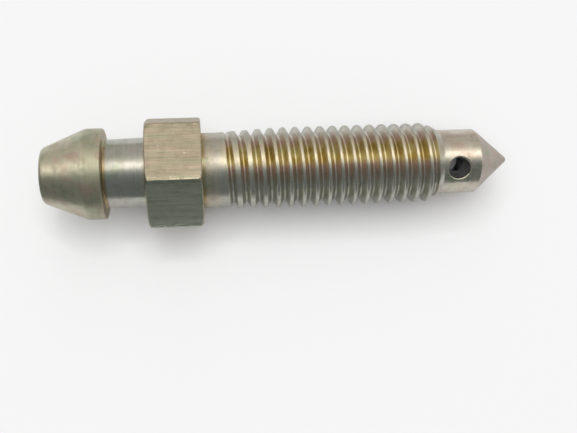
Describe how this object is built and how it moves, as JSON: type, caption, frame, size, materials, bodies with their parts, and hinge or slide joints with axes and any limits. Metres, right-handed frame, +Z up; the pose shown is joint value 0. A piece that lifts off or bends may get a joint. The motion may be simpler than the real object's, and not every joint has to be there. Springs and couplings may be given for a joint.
{
  "type": "bleeder screw",
  "caption": "Hollow bleed valve screw with a barbed hose nipple, hexagon, right-hand metric thread, cross hole and sealing cone.",
  "frame": {"origin": "bottom centre of the bounding box: on the ground under the middle of the screw as it lies at rest", "axes": "+X along the screw from the hose nipple to the sealing cone (dipping by the rest tilt of 2.7 degrees), +Y square to it along the ground, +Z up"},
  "size_m": [0.0462, 0.0116, 0.0102],
  "materials": {
    "zinc_plated_steel": "yellow passivated zinc plating, satin, with turning marks"
  },
  "bodies": {
    "root": {"bleeder_screw": "zinc_plated_steel"}
  },
  "joints": []
}
